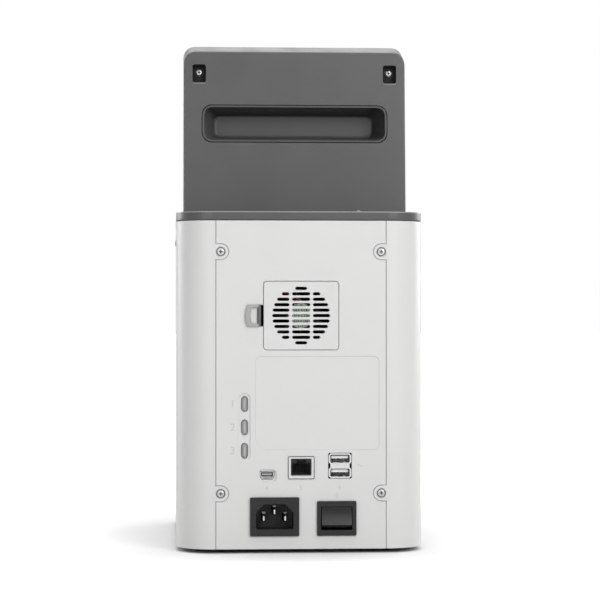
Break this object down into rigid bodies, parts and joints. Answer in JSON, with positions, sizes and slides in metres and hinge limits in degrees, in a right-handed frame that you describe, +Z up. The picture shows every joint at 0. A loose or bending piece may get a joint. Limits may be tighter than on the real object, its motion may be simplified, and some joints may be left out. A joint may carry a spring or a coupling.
{
  "type": "biochemistry analyzer",
  "caption": "Countertop biochemistry analyzer with a rounded white housing, a tilted touch screen head with a rear grip, a hinged reagent disc lid, a receipt printer and rear connectors.",
  "frame": {"origin": "on the ground below the middle of the housing", "axes": "+Z up, -Y towards the screen and the user, +Y out of the rear panel with the connectors, +X to the right of a user who faces the screen"},
  "size_m": [0.1627, 0.2298, 0.34],
  "materials": {
    "white_shell": "fine grained white moulded plastic",
    "grey_shell": "fine grained dark grey moulded plastic",
    "dark_grip": "fine grained darker grey moulded plastic",
    "catch_grey": "satin light grey plastic",
    "button_grey": "satin mid grey plastic",
    "black_plastic": "satin black plastic",
    "rubber": "matte black rubber",
    "glass": "black backed touch glass",
    "steel": "satin nickel plated steel",
    "clear_disc": "clear moulded plastic",
    "board_green": "green solder mask",
    "paper": "white thermal paper",
    "port_white": "white connector plastic"
  },
  "bodies": {
    "housing": {"side_cover_left": "white_shell", "side_cover_right": "white_shell", "rear_panel": "white_shell", "front_panel": "white_shell", "fan_mount": "white_shell", "base_tray": "grey_shell", "deck_frame": "grey_shell", "head_shell": "grey_shell", "handle_cup": "dark_grip", "fan_frame": "black_plastic", "mini_usb_core": "black_plastic", "lan_insert": "black_plastic", "inlet_housing": "black_plastic", "switch_housing": "black_plastic", "printer_housing": "black_plastic", "chamber_bowl": "black_plastic", "optics_module": "black_plastic", "display_bezel": "black_plastic", "display_panel": "black_plastic", "foot_front_left": "rubber", "foot_front_right": "rubber", "foot_rear_left": "rubber", "foot_rear_right": "rubber", "chamber_seal": "rubber", "touch_glass": "glass", "rear_screw_lower_left": "steel", "rear_screw_lower_right": "steel", "rear_screw_upper_left": "steel", "rear_screw_upper_right": "steel", "head_screw_left": "steel", "head_screw_right": "steel", "mini_usb_shell": "steel", "lan_shield": "steel", "usb_shell": "steel", "inlet_pin_left": "steel", "inlet_pin_right": "steel", "inlet_pin_earth": "steel", "print_head": "steel", "spindle_motor": "steel", "lid_hinge_pin": "steel", "power_supply": "steel", "main_board": "board_green", "button_board": "board_green", "usb_core": "port_white"},
    "chamber_lid": {"chamber_lid": "white_shell", "lid_liner": "black_plastic"},
    "disc_spindle": {"spindle_hub": "steel", "reagent_disc": "clear_disc"},
    "fan_rotor": {"fan_rotor": "black_plastic"},
    "fan_cover": {"fan_cover": "white_shell"},
    "cover_catch": {"cover_catch": "catch_grey"},
    "power_rocker": {"switch_rocker": "black_plastic"},
    "upper_rear_button": {"rear_button_upper": "button_grey"},
    "middle_rear_button": {"rear_button_middle": "button_grey"},
    "lower_rear_button": {"rear_button_lower": "button_grey"},
    "side_button": {"side_button": "button_grey"},
    "start_button": {"start_button": "button_grey"},
    "printer_door": {"printer_door": "white_shell"},
    "platen_roller": {"platen_roller": "rubber"},
    "paper_roll": {"paper_roll": "paper"}
  },
  "joints": [
    {"name": "lid_hinge", "type": "hinge", "parent": "housing", "child": "chamber_lid", "pos_m": [0, -0.026, 0.2266], "axis": [-1, 0, 0], "range_deg": [0, 95]},
    {"name": "disc_spin", "type": "hinge", "parent": "housing", "child": "disc_spindle", "pos_m": [0, -0.0684, 0.203], "axis": [0, 0, 1], "continuous": true},
    {"name": "fan_spin", "type": "hinge", "parent": "housing", "child": "fan_rotor", "pos_m": [0, 0.1, 0.1545], "axis": [0, 1, 0], "continuous": true},
    {"name": "fan_cover_hinge", "type": "hinge", "parent": "housing", "child": "fan_cover", "pos_m": [-0.02455, 0.1125, 0.1545], "axis": [0, 0, 1], "range_deg": [0, 100]},
    {"name": "catch_slide", "type": "slide", "parent": "fan_cover", "child": "cover_catch", "axis": [-1, 0, 0], "range_m": [0, 0.0018], "stiffness_N_per_m": 300},
    {"name": "power_rock", "type": "hinge", "parent": "housing", "child": "power_rocker", "pos_m": [-0.0231, 0.1072, 0.0227], "axis": [1, 0, 0], "range_deg": [-23, 0]},
    {"name": "upper_button_press", "type": "slide", "parent": "housing", "child": "upper_rear_button", "axis": [0, -1, 0], "range_m": [0, 0.0008], "stiffness_N_per_m": 400},
    {"name": "middle_button_press", "type": "slide", "parent": "housing", "child": "middle_rear_button", "axis": [0, -1, 0], "range_m": [0, 0.0008], "stiffness_N_per_m": 400},
    {"name": "lower_button_press", "type": "slide", "parent": "housing", "child": "lower_rear_button", "axis": [0, -1, 0], "range_m": [0, 0.0008], "stiffness_N_per_m": 400},
    {"name": "side_button_press", "type": "slide", "parent": "housing", "child": "side_button", "axis": [-1, 0, 0], "range_m": [0, 0.001], "stiffness_N_per_m": 400},
    {"name": "start_button_press", "type": "slide", "parent": "housing", "child": "start_button", "axis": [0, 1, 0], "range_m": [0, 0.001], "stiffness_N_per_m": 500},
    {"name": "printer_door_hinge", "type": "hinge", "parent": "housing", "child": "printer_door", "pos_m": [0, -0.1125, 0.1018], "axis": [1, 0, 0], "range_deg": [0, 95]},
    {"name": "platen_spin", "type": "hinge", "parent": "printer_door", "child": "platen_roller", "pos_m": [0, -0.1019, 0.1545], "axis": [1, 0, 0], "continuous": true},
    {"name": "paper_roll_spin", "type": "hinge", "parent": "housing", "child": "paper_roll", "pos_m": [0, -0.083, 0.1191], "axis": [1, 0, 0], "continuous": true}
  ]
}
